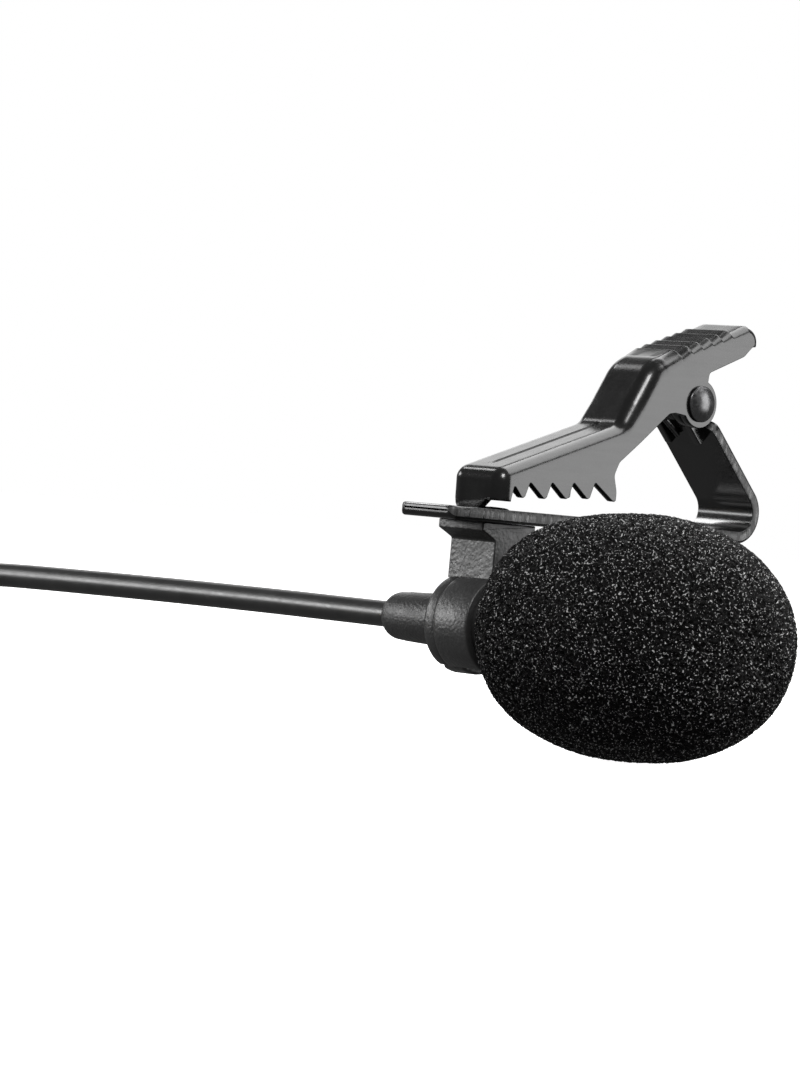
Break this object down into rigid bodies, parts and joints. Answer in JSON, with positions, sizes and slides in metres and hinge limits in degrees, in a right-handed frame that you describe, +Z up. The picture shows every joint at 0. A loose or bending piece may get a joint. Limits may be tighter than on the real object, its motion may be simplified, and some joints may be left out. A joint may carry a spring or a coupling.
{
  "type": "lavalier microphone",
  "caption": "Tie-clip microphone: a small tubular housing with a foam windscreen, in a snap holder on a sprung toothed clip, with a coiled cable and a jack plug.",
  "frame": {"origin": "on the surface that the windscreen lies on, below the centre of the box round the microphone and its clip, leaving out the cable, its coil and the plug", "axes": "+X along the microphone's axis from the cable towards the tip of the windscreen, +Y along the clip from its nose to its bend, +Z up from the microphone to the clip"},
  "size_m": [0.1517, 0.064, 0.0378],
  "materials": {
    "foam": "open-cell foam, matt, with small glints from the cell walls",
    "black_plastic": "moulded, fine texture, satin",
    "cloth": "thin woven cloth",
    "bare_metal": "drawn, plain",
    "soft_rubber": "matt",
    "contact_metal": "plated, polished",
    "film": "thin film with a metal coat",
    "insulating_plastic": "plain",
    "board": "board with solder mask",
    "wire_cover": "plain",
    "cable_cover": "extruded, satin",
    "black_metal": "black plated sheet, glossy to satin",
    "pin_steel": "dark plated, polished",
    "tie_strap": "woven strap",
    "insulating_black": "moulded"
  },
  "bodies": {
    "mic": {"mic_housing": "black_plastic", "front_grille": "black_plastic", "dust_cloth": "cloth", "capsule_felt": "cloth", "capsule_can": "bare_metal", "capsule_sleeve": "soft_rubber", "diaphragm_ring": "contact_metal", "diaphragm": "film", "spacer_ring": "insulating_plastic", "backplate": "contact_metal", "backplate_holder": "insulating_plastic", "capsule_board": "board", "board_transistor": "black_plastic", "solder_joints": "bare_metal", "lead_wires": "wire_cover", "strain_relief": "cable_cover", "cable_run": "cable_cover", "cable_coil": "cable_cover", "cable_tail": "cable_cover", "coil_tie": "tie_strap", "plug_grip": "black_plastic", "plug_sleeve": "contact_metal", "plug_ring_inner": "contact_metal", "plug_ring_outer": "contact_metal", "plug_tip": "contact_metal", "plug_insulators": "insulating_black"},
    "clip_base": {"mic_holder": "black_plastic", "holder_rivet": "black_metal", "clip_strip": "black_metal", "pivot_pin": "pin_steel", "torsion_spring": "pin_steel"},
    "jaw": {"clip_jaw": "black_metal"},
    "windscreen": {"windscreen_foam": "foam"}
  },
  "joints": [
    {"name": "holder_slide", "type": "slide", "parent": "mic", "child": "clip_base", "axis": [-1, 0, 0], "range_m": [0, 0.01]},
    {"name": "jaw_hinge", "type": "hinge", "parent": "clip_base", "child": "jaw", "pos_m": [-0.00985, 0.01145, 0.03035], "axis": [-1, 0, 0], "range_deg": [0, 35], "stiffness_Nm_per_rad": 0.01, "springref_deg": -57.3, "deforming": ["torsion_spring"]},
    {"name": "windscreen_slide", "type": "slide", "parent": "mic", "child": "windscreen", "axis": [1, 0, 0], "range_m": [0, 0.012]}
  ]
}
